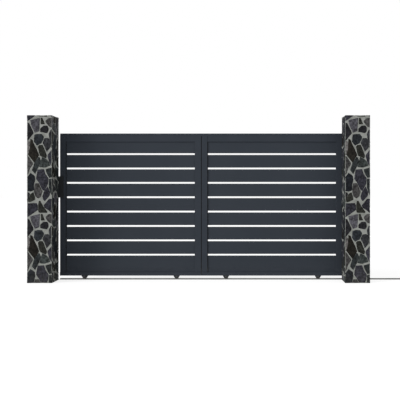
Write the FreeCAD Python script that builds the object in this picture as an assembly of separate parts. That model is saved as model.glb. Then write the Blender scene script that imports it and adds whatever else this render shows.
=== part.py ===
"""Sliding driveway gate: two stone-faced pillars, a slatted leaf of two framed panels, and its floor rail.

Units are millimetres. The origin is the centre of the left pillar's underside. +X runs along the gate to
the right, +Y runs from the road to the yard, behind the pillars, and +Z is up. The leaf is drawn closed.
"""

import FreeCAD, Part

import math
import os

V = FreeCAD.Vector

# Pillars
clear_opening = 3500.0
pillar_side = 305.0
pillar_height = 2010.0

# Leaf as a whole
leaf_underside = 49.0
leaf_below_pillar_top = 195.0
leaf_depth = 40.0
leaf_running_gap = 15.0
leaf_end_gap = 5.0
leaf_overlap = 16.0
panel_joint = 6.0
tail_length = 190.0

# Frame members of the leaf
stile_width = 78.5
top_rail_height = 71.5
bottom_rail_height = 64.5
guide_tube_height = 32.0
guide_tube_depth = 30.0
base_channel_wall = 3.0
tail_post_width = 50.0

# Slats
slat_count = 9
slat_thickness = 20.0
slot_height = 21.0
slat_housing = 16.0
slat_end_housing = 10.0
groove_clearance = 0.3

# Floor rail
rail_start_gap = 2.5
rail_section_count = 3
rail_strip_width = 50.0
rail_strip_thickness = 4.0
rail_head_radius = 8.0
rail_neck_height = 3.0
rail_end_margin = 20.0
rail_holes_per_section = 4
rail_hole_diameter = 9.0

# Rollers under the leaf
wheel_inset = 304.0
wheel_radius = 32.0
wheel_groove_depth = 6.0
wheel_rim = 3.0
wheel_rail_gap = 0.3
wheel_roof_clearance = 10.2
wheel_hub_wall = 4.9
wheel_hub_clearance = 0.5
wheel_side_clearance = 5.0
axle_radius = 6.0
axle_clearance = 0.1
axle_head_overhang = 3.0
axle_head_length = 6.0
axle_end_clearance = 1.0
fork_cheek = 4.0
fork_bridge = 2.5
fork_past_wheel = 5.0
fork_foot_width = 50.0
fork_foot_below_axle = 13.0
fork_shoulder_below_axle = 1.3

# Receiver on the left pillar
receiver_bottom = 1018.0
receiver_height = 264.0
receiver_plate = 6.0
receiver_reach = 52.5
receiver_grip = 92.5
receiver_pocket_clearance = 9.0
receiver_pad_thickness = 10.0
receiver_buffer_thickness = 8.5

# Top guide on the right pillar
guide_bracket_offset = 37.5
guide_bracket_width = 180.0
guide_bracket_thickness = 8.0
guide_bracket_upright = 100.0
guide_bracket_rise = 20.0
guide_roller_radius = 13.0
guide_roller_gap = 1.5
guide_roller_wall_gap = 2.5
guide_roller_lift = 6.0
guide_roller_drop = 4.0
guide_roller_inset = 40.0
guide_roller_end_gap = 0.3
guide_pin_radius = 5.0
guide_pin_head_overhang = 2.0
guide_pin_head_height = 3.7
guide_pin_nut_height = 8.0
guide_nut_clearance = 0.5

# End stop on the rail
stop_buffer_radius = 15.0
stop_buffer_length = 20.0
stop_gap = 5.0
stop_plate_thickness = 8.0
stop_plate_margin = 12.0
stop_foot_thickness = 6.0

# Places that follow from the sizes above
half_pillar = pillar_side / 2
right_pillar_x = clear_opening + pillar_side
opening_left = half_pillar
opening_right = half_pillar + clear_opening
leaf_top = pillar_height - leaf_below_pillar_top

# Wheels, and the channel that they need
rail_head_height = rail_neck_height + rail_head_radius
rail_top = rail_strip_thickness + rail_head_height
rail_round_z = rail_strip_thickness + rail_neck_height
rail_hole_offset = (rail_head_radius + rail_strip_width / 2) / 2
wheel_tread_radius = wheel_radius - wheel_groove_depth
wheel_groove_radius = rail_head_radius + wheel_rail_gap
wheel_groove_centre = wheel_tread_radius + wheel_groove_radius
wheel_half_mouth = math.sqrt(wheel_groove_radius**2 - (wheel_groove_centre - wheel_radius) ** 2)
wheel_half_width = wheel_half_mouth + wheel_rim
wheel_hub_radius = axle_radius + axle_clearance + wheel_hub_wall
wheel_z = rail_top + wheel_rail_gap + wheel_tread_radius
axle_head_radius = axle_radius + axle_head_overhang
fork_inside = wheel_half_width + wheel_side_clearance
fork_outside = fork_inside + fork_cheek
fork_top_width = 2 * (wheel_radius + fork_past_wheel)
channel_roof = wheel_z + wheel_radius + wheel_roof_clearance + fork_bridge
base_channel_height = channel_roof + base_channel_wall - leaf_underside
base_channel_depth = 2 * (fork_outside + axle_head_length + axle_end_clearance + base_channel_wall)

# How far the leaf stands behind the pillars: the most that any of its neighbours needs
guide_pin_head_radius = guide_pin_radius + guide_pin_head_overhang
guide_roller_offset = guide_tube_depth / 2 + guide_roller_gap + guide_roller_radius
channel_need = leaf_running_gap + base_channel_depth / 2
roller_need = guide_roller_wall_gap + guide_roller_radius + guide_roller_offset
nut_need = guide_bracket_thickness + guide_nut_clearance + guide_pin_head_radius + guide_roller_offset
receiver_need = receiver_plate + receiver_pad_thickness + receiver_pocket_clearance + leaf_depth / 2
leaf_y = half_pillar + max(channel_need, roller_need, nut_need, receiver_need)

# The leaf's length, its panels and its travel
leaf_left = opening_left + leaf_end_gap
panels_right = opening_right + leaf_overlap
panel_width = (panels_right - leaf_left - panel_joint) / 2
panel_lefts = [leaf_left, leaf_left + panel_width + panel_joint]
leaf_right = panels_right + tail_length
leaf_travel = clear_opening - 2 * leaf_end_gap
panel_bottom = leaf_underside + base_channel_height
panel_top = leaf_top - guide_tube_height
slats_bottom = panel_bottom + bottom_rail_height - slat_housing
slats_top = panel_top - top_rail_height + slat_housing
slat_pitch = (slats_top - slats_bottom + slot_height) / slat_count
slat_height = slat_pitch - slot_height
guide_roller_height = guide_tube_height - guide_roller_lift - guide_roller_drop
stop_face = leaf_right + leaf_travel + stop_gap
rail_start = opening_left + rail_start_gap
rail_end = stop_face + stop_buffer_length + stop_plate_thickness + rail_end_margin
rail_section_length = (rail_end - rail_start) / rail_section_count
wheel_places = []
for panel_left in panel_lefts:
    wheel_places.append(panel_left + wheel_inset)
    wheel_places.append(panel_left + panel_width - wheel_inset)


def block(x0, x1, y0, y1, z0, z1):
    """A rectangular solid between two corners."""
    return Part.makeBox(x1 - x0, y1 - y0, z1 - z0, V(x0, y0, z0))


def outline_along(points, axis_length, direction):
    """A closed outline of points, extruded along a direction."""
    wire = Part.makePolygon(points + [points[0]])
    return Part.Face(wire).extrude(direction * axis_length)


def pillar(x):
    """A square masonry pillar with a flat top."""
    return block(x - half_pillar, x + half_pillar, -half_pillar, half_pillar, 0, pillar_height)


def rail_profile(x):
    """The rail's section at one place: a flat strip with a round-topped head."""
    half_strip = rail_strip_width / 2
    y_left = leaf_y - rail_head_radius
    y_right = leaf_y + rail_head_radius
    left = [
        V(x, y_left, rail_round_z),
        V(x, y_left, rail_strip_thickness),
        V(x, leaf_y - half_strip, rail_strip_thickness),
        V(x, leaf_y - half_strip, 0),
        V(x, leaf_y + half_strip, 0),
        V(x, leaf_y + half_strip, rail_strip_thickness),
        V(x, y_right, rail_strip_thickness),
        V(x, y_right, rail_round_z),
    ]
    edges = Part.makePolygon(left).Edges
    crown = Part.Arc(left[-1], V(x, leaf_y, rail_top), left[0]).toShape()
    return Part.Face(Part.Wire(edges + [crown]))


def rail_section(index):
    """One length of floor rail with its fixing holes, on alternate sides of the head."""
    start = rail_start + index * rail_section_length
    rail = rail_profile(start).extrude(V(rail_section_length, 0, 0))
    spacing = rail_section_length / rail_holes_per_section
    for k in range(rail_holes_per_section):
        x = start + (k + 0.5) * spacing
        y = leaf_y + rail_hole_offset * (-1) ** k
        hole = Part.makeCylinder(rail_hole_diameter / 2, rail_strip_thickness, V(x, y, 0))
        rail = rail.cut(hole)
    if index == rail_section_count - 1:
        half_strip = rail_strip_width / 2
        seat = block(stop_face, rail_end, leaf_y - half_strip, leaf_y + half_strip, rail_strip_thickness, rail_top)
        rail = rail.cut(seat)
    return rail


def end_stop_bracket():
    """The angle at the far end of the rail that holds the rubber buffer."""
    half_strip = rail_strip_width / 2
    y0 = leaf_y - half_strip
    y1 = leaf_y + half_strip
    foot_top = rail_strip_thickness + stop_foot_thickness
    plate_x = stop_face + stop_buffer_length
    plate_back = plate_x + stop_plate_thickness
    plate_top = stop_buffer_z() + stop_buffer_radius + stop_plate_margin
    foot = block(stop_face, rail_end, y0, y1, rail_strip_thickness, foot_top)
    plate = block(plate_x, plate_back, y0, y1, rail_strip_thickness, plate_top)
    rib_points = [
        V(plate_back, leaf_y - stop_plate_thickness / 2, foot_top),
        V(rail_end, leaf_y - stop_plate_thickness / 2, foot_top),
        V(plate_back, leaf_y - stop_plate_thickness / 2, plate_top),
    ]
    rib = outline_along(rib_points, stop_plate_thickness, V(0, 1, 0))
    return foot.fuse([plate, rib]).removeSplitter()


def stop_buffer_z():
    """The buffer's height: the middle of the channel's end."""
    return leaf_underside + base_channel_height / 2


def end_stop_buffer():
    """The round rubber buffer that the open leaf meets."""
    centre = V(stop_face, leaf_y, stop_buffer_z())
    return Part.makeCylinder(stop_buffer_radius, stop_buffer_length, centre, V(1, 0, 0))


def receiver_faces():
    """The pocket's inner faces: front and rear of the leaf's end."""
    front = leaf_y - leaf_depth / 2 - receiver_pocket_clearance
    rear = leaf_y + leaf_depth / 2 + receiver_pocket_clearance
    return front, rear


def receiver_web_x():
    """The side of the receiver's web that faces the leaf."""
    return opening_left - receiver_buffer_thickness


def receiver_front_plate():
    """The plate on the pillar's rear face that runs on as the front cheek."""
    x0 = opening_left - receiver_grip
    x1 = opening_left + receiver_reach
    y1 = half_pillar + receiver_plate
    return block(x0, x1, half_pillar, y1, receiver_bottom, receiver_bottom + receiver_height)


def receiver_web():
    """The web that closes the pocket behind the pillar."""
    x1 = receiver_web_x()
    front, rear = receiver_faces()
    y0 = half_pillar + receiver_plate
    return block(x1 - receiver_plate, x1, y0, rear, receiver_bottom, receiver_bottom + receiver_height)


def receiver_rear_cheek():
    """The cheek behind the leaf's end."""
    front, rear = receiver_faces()
    x0 = receiver_web_x() - receiver_plate
    x1 = opening_left + receiver_reach
    return block(x0, x1, rear, rear + receiver_plate, receiver_bottom, receiver_bottom + receiver_height)


def receiver_pad():
    """The pad that brings the front cheek up to the pocket's inner face."""
    front, rear = receiver_faces()
    y0 = half_pillar + receiver_plate
    x1 = opening_left + receiver_reach
    return block(receiver_web_x(), x1, y0, front, receiver_bottom, receiver_bottom + receiver_height)


def receiver_buffer():
    """The rubber closing stop inside the pocket."""
    front, rear = receiver_faces()
    return block(receiver_web_x(), opening_left, front, rear, receiver_bottom, receiver_bottom + receiver_height)


def guide_pin_places():
    """Where the four guide rollers hang, as pairs along and across the leaf."""
    return [(guide_roller_x(place), guide_roller_y(side)) for place in (0, 1) for side in (-1, 1)]


def guide_bracket():
    """The angle on the right pillar's rear face that reaches over the leaf, drilled for the roller pins."""
    x0 = opening_right + guide_bracket_offset
    x1 = x0 + guide_bracket_width
    z0 = leaf_top + guide_bracket_rise
    y_end = guide_roller_y(1) + guide_roller_radius + guide_pin_head_radius
    arm = block(x0, x1, half_pillar, y_end, z0, z0 + guide_bracket_thickness)
    upright = block(x0, x1, half_pillar, half_pillar + guide_bracket_thickness, z0, z0 + guide_bracket_upright)
    bracket = arm.fuse(upright).removeSplitter()
    for x, y in guide_pin_places():
        bore_radius = guide_pin_radius + axle_clearance
        bracket = bracket.cut(Part.makeCylinder(bore_radius, guide_bracket_thickness, V(x, y, z0)))
    return bracket


def guide_roller_y(side):
    """A guide roller's place in depth: side -1 is in front of the guide tube, and 1 behind it."""
    return leaf_y + side * guide_roller_offset


def guide_roller_x(place):
    """A guide roller's place along the leaf: place 0 is nearer the opening."""
    x0 = opening_right + guide_bracket_offset
    return x0 + guide_roller_inset + place * (guide_bracket_width - 2 * guide_roller_inset)


def guide_roller(place, side):
    """A nylon roller beside the guide tube, bored for its pin."""
    base = V(guide_roller_x(place), guide_roller_y(side), panel_top + guide_roller_lift)
    body = Part.makeCylinder(guide_roller_radius, guide_roller_height, base)
    bore = Part.makeCylinder(guide_pin_radius + axle_clearance, guide_roller_height, base)
    return body.cut(bore)


def guide_pin(x, y):
    """A bolt that hangs a guide roller under the bracket, with its head, its spacer and its nut."""
    arm_bottom = leaf_top + guide_bracket_rise
    arm_top = arm_bottom + guide_bracket_thickness
    roller_bottom = panel_top + guide_roller_lift
    head_bottom = roller_bottom - guide_roller_end_gap - guide_pin_head_height
    spacer_bottom = roller_bottom + guide_roller_height + guide_roller_end_gap
    nut_top = arm_top + guide_pin_nut_height
    shank = Part.makeCylinder(guide_pin_radius, nut_top - head_bottom, V(x, y, head_bottom))
    head = Part.makeCylinder(guide_pin_head_radius, guide_pin_head_height, V(x, y, head_bottom))
    spacer = Part.makeCylinder(guide_pin_head_radius, arm_bottom - spacer_bottom, V(x, y, spacer_bottom))
    nut = Part.makeCylinder(guide_pin_head_radius, guide_pin_nut_height, V(x, y, arm_top))
    return shank.fuse([head, spacer, nut]).removeSplitter()


def guide_pins():
    """All four guide bolts."""
    return Part.makeCompound([guide_pin(x, y) for x, y in guide_pin_places()])


def base_channel():
    """The channel under both panels, open below, that holds the rollers."""
    y0 = leaf_y - base_channel_depth / 2
    y1 = leaf_y + base_channel_depth / 2
    wall = base_channel_wall
    outer = block(leaf_left, leaf_right, y0, y1, leaf_underside, leaf_underside + base_channel_height)
    inner = block(leaf_left + wall, leaf_right - wall, y0 + wall, y1 - wall, leaf_underside, channel_roof)
    return outer.cut(inner)


def guide_tube():
    """The square tube along the leaf's top that runs between the guide rollers."""
    half = guide_tube_depth / 2
    return block(leaf_left, leaf_right, leaf_y - half, leaf_y + half, panel_top, leaf_top)


def tail_post():
    """The post that closes the leaf's tail behind the right pillar."""
    half = leaf_depth / 2
    x0 = leaf_right - tail_post_width
    return block(x0, leaf_right, leaf_y - half, leaf_y + half, panel_bottom, panel_top)


def stile(panel_left, side):
    """An upright of a panel, side 0 left or 1 right, grooved for the slats' ends."""
    half = leaf_depth / 2
    x0 = panel_left + side * (panel_width - stile_width)
    body = block(x0, x0 + stile_width, leaf_y - half, leaf_y + half, panel_bottom, panel_top)
    inner_face = x0 + stile_width * (1 - side)
    g0 = inner_face - slat_end_housing * (1 - side)
    half_groove = slat_thickness / 2 + groove_clearance
    groove = block(g0, g0 + slat_end_housing, leaf_y - half_groove, leaf_y + half_groove, slats_bottom, slats_top)
    return body.cut(groove)


def top_rail(panel_left):
    """A panel's top rail, proud of the slats and grooved for the top one."""
    half = leaf_depth / 2
    half_groove = slat_thickness / 2 + groove_clearance
    x0 = panel_left + stile_width
    x1 = panel_left + panel_width - stile_width
    z0 = panel_top - top_rail_height
    body = block(x0, x1, leaf_y - half, leaf_y + half, z0, panel_top)
    groove = block(x0, x1, leaf_y - half_groove, leaf_y + half_groove, z0, slats_top)
    return body.cut(groove)


def bottom_rail(panel_left):
    """A panel's bottom rail, flush with the slats in front and rebated for the lowest one."""
    x0 = panel_left + stile_width
    x1 = panel_left + panel_width - stile_width
    front = leaf_y - slat_thickness / 2
    rebate_back = leaf_y + slat_thickness / 2 + groove_clearance
    z1 = panel_bottom + bottom_rail_height
    body = block(x0, x1, front, leaf_y + leaf_depth / 2, panel_bottom, z1)
    rebate = block(x0, x1, front, rebate_back, slats_bottom, z1)
    return body.cut(rebate)


def slats(panel_left):
    """A panel's horizontal slats, with an open slot between each two."""
    half = slat_thickness / 2
    x0 = panel_left + stile_width - slat_end_housing
    x1 = panel_left + panel_width - stile_width + slat_end_housing
    solids = []
    for k in range(slat_count):
        z0 = slats_bottom + k * slat_pitch
        solids.append(block(x0, x1, leaf_y - half, leaf_y + half, z0, z0 + slat_height))
    return Part.makeCompound(solids)


def fork_cheek_plate(x, y):
    """One tapered side plate of a roller fork."""
    half_top = fork_top_width / 2
    half_foot = fork_foot_width / 2
    shoulder = wheel_z - fork_shoulder_below_axle
    foot = wheel_z - fork_foot_below_axle
    points = [
        V(x - half_top, y, channel_roof),
        V(x - half_top, y, shoulder),
        V(x - half_foot, y, foot),
        V(x + half_foot, y, foot),
        V(x + half_top, y, shoulder),
        V(x + half_top, y, channel_roof),
    ]
    return outline_along(points, fork_cheek, V(0, 1, 0))


def roller_fork(x):
    """The fork under the channel's roof that carries a wheel, bored for its axle."""
    half_top = fork_top_width / 2
    front = fork_cheek_plate(x, leaf_y - fork_outside)
    rear = fork_cheek_plate(x, leaf_y + fork_inside)
    y0 = leaf_y - fork_outside
    y1 = leaf_y + fork_outside
    bridge = block(x - half_top, x + half_top, y0, y1, channel_roof - fork_bridge, channel_roof)
    fork = bridge.fuse([front, rear]).removeSplitter()
    bore = Part.makeCylinder(axle_radius + axle_clearance, 2 * fork_outside, V(x, y0, wheel_z), V(0, 1, 0))
    return fork.cut(bore)


def roller_axle(x):
    """The bolt through a fork that its wheel turns on, with a head and a nut."""
    reach = fork_outside + axle_head_length
    shank = Part.makeCylinder(axle_radius, 2 * reach, V(x, leaf_y - reach, wheel_z), V(0, 1, 0))
    head = Part.makeCylinder(axle_head_radius, axle_head_length, V(x, leaf_y - reach, wheel_z), V(0, 1, 0))
    nut = Part.makeCylinder(axle_head_radius, axle_head_length, V(x, leaf_y + fork_outside, wheel_z), V(0, 1, 0))
    return shank.fuse([head, nut]).removeSplitter()


def wheel(x):
    """A grooved wheel that fits over the rail's round head, with a hub on each side and a bore."""
    half_hub = fork_inside - wheel_hub_clearance
    rim_z = wheel_z + wheel_radius
    hub_z = wheel_z + wheel_hub_radius
    bore_z = wheel_z + axle_radius + axle_clearance
    points = [
        V(x, leaf_y - wheel_half_mouth, rim_z),
        V(x, leaf_y - wheel_half_width, rim_z),
        V(x, leaf_y - wheel_half_width, hub_z),
        V(x, leaf_y - half_hub, hub_z),
        V(x, leaf_y - half_hub, bore_z),
        V(x, leaf_y + half_hub, bore_z),
        V(x, leaf_y + half_hub, hub_z),
        V(x, leaf_y + wheel_half_width, hub_z),
        V(x, leaf_y + wheel_half_width, rim_z),
        V(x, leaf_y + wheel_half_mouth, rim_z),
    ]
    edges = Part.makePolygon(points).Edges
    deepest = V(x, leaf_y, wheel_z + wheel_tread_radius)
    groove = Part.Arc(points[-1], deepest, points[0]).toShape()
    section = Part.Face(Part.Wire(edges + [groove]))
    return section.revolve(V(x, leaf_y, wheel_z), V(0, 1, 0), 360)


def all_pieces():
    """Every piece of the gate by name."""
    pieces = {
        "left_pillar": pillar(0),
        "right_pillar": pillar(right_pillar_x),
        "end_stop_bracket": end_stop_bracket(),
        "end_stop_buffer": end_stop_buffer(),
        "receiver_front_plate": receiver_front_plate(),
        "receiver_web": receiver_web(),
        "receiver_rear_cheek": receiver_rear_cheek(),
        "receiver_pad": receiver_pad(),
        "receiver_buffer": receiver_buffer(),
        "guide_bracket": guide_bracket(),
        "guide_pins": guide_pins(),
        "base_channel": base_channel(),
        "guide_tube": guide_tube(),
        "tail_post": tail_post(),
    }
    for index in range(rail_section_count):
        pieces[f"rail_section_{index + 1}"] = rail_section(index)
    for place, along in enumerate(("near", "far")):
        pieces[f"guide_roller_{along}_front"] = guide_roller(place, -1)
        pieces[f"guide_roller_{along}_rear"] = guide_roller(place, 1)
    for name, panel_left in zip(("left_panel", "right_panel"), panel_lefts):
        pieces[f"{name}_left_stile"] = stile(panel_left, 0)
        pieces[f"{name}_right_stile"] = stile(panel_left, 1)
        pieces[f"{name}_top_rail"] = top_rail(panel_left)
        pieces[f"{name}_bottom_rail"] = bottom_rail(panel_left)
        pieces[f"{name}_slats"] = slats(panel_left)
    for index, x in enumerate(wheel_places):
        pieces[f"roller_fork_{index + 1}"] = roller_fork(x)
        pieces[f"roller_axle_{index + 1}"] = roller_axle(x)
        pieces[f"wheel_{index + 1}"] = wheel(x)
    return pieces


os.makedirs("parts", exist_ok=True)
for name, shape in all_pieces().items():
    shape.exportStep(f"parts/{name}.step")
    box = shape.BoundBox
    print(f"{name}: {len(shape.Solids)} solid, {shape.Volume / 1e3:.1f} cm3, valid {shape.isValid()}")
    print(f"    x {box.XMin:.1f} {box.XMax:.1f}  y {box.YMin:.1f} {box.YMax:.1f}  z {box.ZMin:.1f} {box.ZMax:.1f}")
print(f"leaf travel {leaf_travel:.1f}, wheel centre height {wheel_z:.1f}, slat height {slat_height:.2f}")
print("wheels at", [round(x, 1) for x in wheel_places])
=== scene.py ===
# %% [markdown]
# # A sliding driveway gate
# A slatted leaf of powder-coated aluminium rolls on a floor rail behind two stone-faced pillars. The CAD
# model already holds every size and every moving part. This file gives each part its real edges, joints and
# finish.

import math
from contextlib import contextmanager
from itertools import product

import bmesh
import bpy
import numpy as np
from mathutils import Matrix, Vector, geometry, noise


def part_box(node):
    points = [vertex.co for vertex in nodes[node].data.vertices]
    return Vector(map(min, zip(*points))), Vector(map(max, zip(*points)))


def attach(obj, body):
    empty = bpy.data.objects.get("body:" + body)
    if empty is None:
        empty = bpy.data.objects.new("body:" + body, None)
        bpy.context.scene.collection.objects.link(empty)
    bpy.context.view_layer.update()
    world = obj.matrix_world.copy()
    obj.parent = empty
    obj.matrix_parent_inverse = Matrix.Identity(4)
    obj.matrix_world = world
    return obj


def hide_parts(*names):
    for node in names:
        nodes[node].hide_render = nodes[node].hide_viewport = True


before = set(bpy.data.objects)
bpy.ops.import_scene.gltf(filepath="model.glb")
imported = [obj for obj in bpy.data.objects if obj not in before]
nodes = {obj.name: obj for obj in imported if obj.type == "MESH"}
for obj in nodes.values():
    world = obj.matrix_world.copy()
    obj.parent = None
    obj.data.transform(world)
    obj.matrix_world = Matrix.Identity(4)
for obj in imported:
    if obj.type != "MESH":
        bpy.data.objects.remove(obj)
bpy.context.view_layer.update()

# %% [markdown]
# ## Camera
# The picture looks straight at the gate, so its upright and level lines stay upright and level. A camera that
# turned towards the gate's middle would make the level lines run together. Looking straight ahead and
# shifting the frame sideways and down, as a view camera does, keeps them parallel. The shift is kept small,
# because every other view of the gate uses the same camera.

# %% Set up the camera
PICTURE_WIDTH = 400
SENSOR_WIDTH = 36.0
EYE = (2.494, -8.447, 1.148)
FOCAL_PIXELS = 693.9
HORIZON_ROW = 187.1
SIDE_SHIFT = -0.12


def place(name, data):
    """Puts a new object into the scene."""
    made = bpy.data.objects.new(name, data)
    bpy.context.collection.objects.link(made)
    return made


camera_data = bpy.data.cameras.new("gate_camera")
camera_data.sensor_width = SENSOR_WIDTH
camera_data.lens = FOCAL_PIXELS / PICTURE_WIDTH * SENSOR_WIDTH
camera_data.shift_x = SIDE_SHIFT
camera_data.shift_y = HORIZON_ROW / PICTURE_WIDTH - 0.5
camera = place("gate_camera", camera_data)
camera.location = EYE
camera.rotation_euler = (math.radians(90), 0, 0)
bpy.context.scene.camera = camera
bpy.context.scene.view_settings.view_transform = "Standard"
print(f"lens {camera_data.lens:.1f} mm")

# %% [markdown]
# ## Small helpers for shader nodes
# A node tree in Python is a list of nodes and links. `wire` makes one node and fills its inputs in one go: a
# value is written on the socket, and a socket of another node is linked to it.


# %% Node helpers
def wire(tree, kind, inputs=None, **settings):
    """Adds a node, sets its options, and fills its inputs with values or with links."""
    made = tree.nodes.new(kind)
    for option, value in settings.items():
        setattr(made, option, value)
    for socket, value in (inputs or {}).items():
        if isinstance(value, bpy.types.NodeSocket):
            tree.links.new(value, made.inputs[socket])
        else:
            made.inputs[socket].default_value = value
    return made


def mix_colours(tree, factor, first, second):
    """The colour that lies between two others."""
    return wire(tree, "ShaderNodeMix", {0: factor, 6: first, 7: second}, data_type="RGBA").outputs[2]


def scaled(tree, vector, factor):
    """A colour or a vector times a number."""
    return wire(tree, "ShaderNodeVectorMath", {0: vector, "Scale": factor}, operation="SCALE").outputs[0]


def maths(tree, operation, first, second=0.0):
    """One sum on two numbers."""
    return wire(tree, "ShaderNodeMath", {0: first, 1: second}, operation=operation).outputs[0]


def spread(tree, value, low, high, to_low=0.0, to_high=1.0):
    """Maps a range of numbers to another one, and cuts off what lies outside."""
    places = {"Value": value, "From Min": low, "From Max": high, "To Min": to_low, "To Max": to_high}
    return wire(tree, "ShaderNodeMapRange", places).outputs["Result"]


def seen(red, green, blue):
    """A colour given as it looks on a screen, 0 to 255, as the linear colour that a shader needs."""
    parts = [c / 255 for c in (red, green, blue)]
    return (*[c / 12.92 if c <= 0.04045 else ((c + 0.055) / 1.055) ** 2.4 for c in parts], 1.0)


def new_material(name):
    """An empty material with its node tree."""
    made = bpy.data.materials.new(name)
    made.use_nodes = True
    made.node_tree.nodes.clear()
    return made, made.node_tree


print("white is", seen(255, 255, 255))

# %% [markdown]
# ## Light and ground
# The gate stands in the open under a bright, even sky, with a little more light from the left and a weak fill
# from the front. That is a plain world light and two suns with very wide discs, whose shadows have soft
# edges. The ground is white to the camera. It still catches a faint shadow, because part of its brightness is
# a matt surface under those lights.

# %% World, suns and ground
WHITE = (1, 1, 1, 1)
SKY = 0.66
SUNS = {
    "soft_sun": (2.0, 30, Vector((-0.80, -0.42, 0.45))),
    "front_fill": (0.35, 70, Vector((0.10, -0.90, 0.40))),
}
GROUND_GLOW = 0.78
GROUND_MATT = 0.30
GROUND_BOUNCE = 0.80
GROUND_HALF = 60.0
GROUND_DROP = 0.0005


def white_outside(tree, lit, white):
    """One shader for most rays, and a white one for those from the camera, off metal or through glass."""
    path = wire(tree, "ShaderNodeLightPath").outputs
    shiny = maths(tree, "MAXIMUM", path["Is Glossy Ray"], path["Is Transmission Ray"])
    direct = maths(tree, "MAXIMUM", path["Is Camera Ray"], shiny)
    return wire(tree, "ShaderNodeMixShader", {0: direct, 1: lit.outputs[0], 2: white.outputs[0]}).outputs[0]


def make_world():
    """An even sky that looks plain white behind the gate."""
    world = bpy.data.worlds.new("even_sky")
    bpy.context.scene.world = world
    world.use_nodes = True
    tree = world.node_tree
    tree.nodes.clear()
    sky, white = [wire(tree, "ShaderNodeBackground", {"Color": WHITE, "Strength": s}) for s in (SKY, 1.0)]
    wire(tree, "ShaderNodeOutputWorld", {"Surface": white_outside(tree, sky, white)})


def make_sun(name, strength, disc, comes_from):
    """A sun of a given strength, the angle of its disc in degrees, and the direction that it shines from."""
    data = bpy.data.lights.new(name, "SUN")
    data.energy = strength
    data.angle = math.radians(disc)
    lamp = place(name, data)
    lamp.rotation_mode = "QUATERNION"
    lamp.rotation_quaternion = comes_from.to_track_quat("Z", "Y")


def make_ground():
    """A white ground that keeps a faint shadow."""
    half = GROUND_HALF
    mesh = bpy.data.meshes.new("ground")
    corners = [(x, y, -GROUND_DROP) for x, y in ((-half, -half), (half, -half), (half, half), (-half, half))]
    mesh.from_pydata(corners, [], [(0, 1, 2, 3)])
    paint, tree = new_material("white_ground")
    greys = [(c, c, c, 1) for c in (GROUND_BOUNCE, GROUND_MATT)]
    bounce, shadow = [wire(tree, "ShaderNodeBsdfDiffuse", {"Color": grey}) for grey in greys]
    glow = wire(tree, "ShaderNodeEmission", {"Strength": GROUND_GLOW})
    bright = wire(tree, "ShaderNodeAddShader", {0: shadow.outputs[0], 1: glow.outputs[0]})
    wire(tree, "ShaderNodeOutputMaterial", {"Surface": white_outside(tree, bounce, bright)})
    mesh.materials.append(paint)
    ground = place("ground", mesh)


make_world()
for name, (strength, disc, comes_from) in SUNS.items():
    make_sun(name, strength, disc, comes_from)
make_ground()
print("sky", SKY, "suns", list(SUNS))

# %% [markdown]
# ## Effects that several finishes share
# Real surfaces are never one flat colour. Four effects come back in most finishes here, so each is built once
# as a node group: cloudy patches, fine grain, dust that settles on top faces and splashes up from the ground,
# and paint that wears off along edges. A group only hands out colours, masks and heights. The shader itself
# stays in each material.

# %% Shared node groups
GREY = (0.5, 0.5, 0.5, 1.0)


def new_group(name, fill, **inputs):
    """A node group: its inputs by name and usual value, and a function that adds its nodes."""
    tree = bpy.data.node_groups.new(name, "ShaderNodeTree")
    for label, value in inputs.items():
        kind = "NodeSocketColor" if isinstance(value, tuple) else "NodeSocketFloat"
        tree.interface.new_socket(label, in_out="INPUT", socket_type=kind).default_value = value
    results = fill(tree, wire(tree, "NodeGroupInput").outputs)
    for label, value in results.items():
        kind = "NodeSocketColor" if value.type == "RGBA" else "NodeSocketFloat"
        tree.interface.new_socket(label, in_out="OUTPUT", socket_type=kind)
    wire(tree, "NodeGroupOutput", results)
    return tree


def speckle(tree, per_metre, detail=3.0):
    """Soft random noise over the piece."""
    where = wire(tree, "ShaderNodeTexCoord").outputs["Object"]
    inputs = {"Vector": where, "Scale": per_metre, "Detail": detail}
    return wire(tree, "ShaderNodeTexNoise", inputs).outputs["Fac"]


def cloudy(tree, given):
    """Patches of a second colour, so many to the metre."""
    patches = spread(tree, speckle(tree, given["Scale"], 4.0), 0.38, 0.66)
    mask = maths(tree, "MULTIPLY", patches, given["Strength"])
    return {"Colour": mix_colours(tree, mask, given["Colour"], given["Patch"])}


def grainy(tree, given):
    """Fine grain for the height of the surface and for its roughness."""
    height = speckle(tree, given["Scale"])
    swing = maths(tree, "MULTIPLY", maths(tree, "SUBTRACT", height, 0.5), given["Swing"])
    return {"Roughness": maths(tree, "ADD", given["Roughness"], swing), "Height": height}


def dusty(tree, given):
    """Dust on faces that look up, and splashes up to a height above the ground."""
    spots = spread(tree, speckle(tree, 35.0, 5.0), 0.32, 0.68)
    where = wire(tree, "ShaderNodeTexCoord").outputs
    facing_up = wire(tree, "ShaderNodeSeparateXYZ", {0: where["Normal"]}).outputs["Z"]
    height = wire(tree, "ShaderNodeSeparateXYZ", {0: where["Object"]}).outputs["Z"]
    on_top = maths(tree, "MULTIPLY", spread(tree, facing_up, 0.6, 0.95), given["Dust"])
    low_down = maths(tree, "MULTIPLY", spread(tree, height, given["Height"], 0.0), given["Splash"])
    mask = maths(tree, "MULTIPLY", maths(tree, "MAXIMUM", on_top, low_down), spots)
    return {"Colour": mix_colours(tree, mask, given["Colour"], given["Dirt"])}


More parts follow.
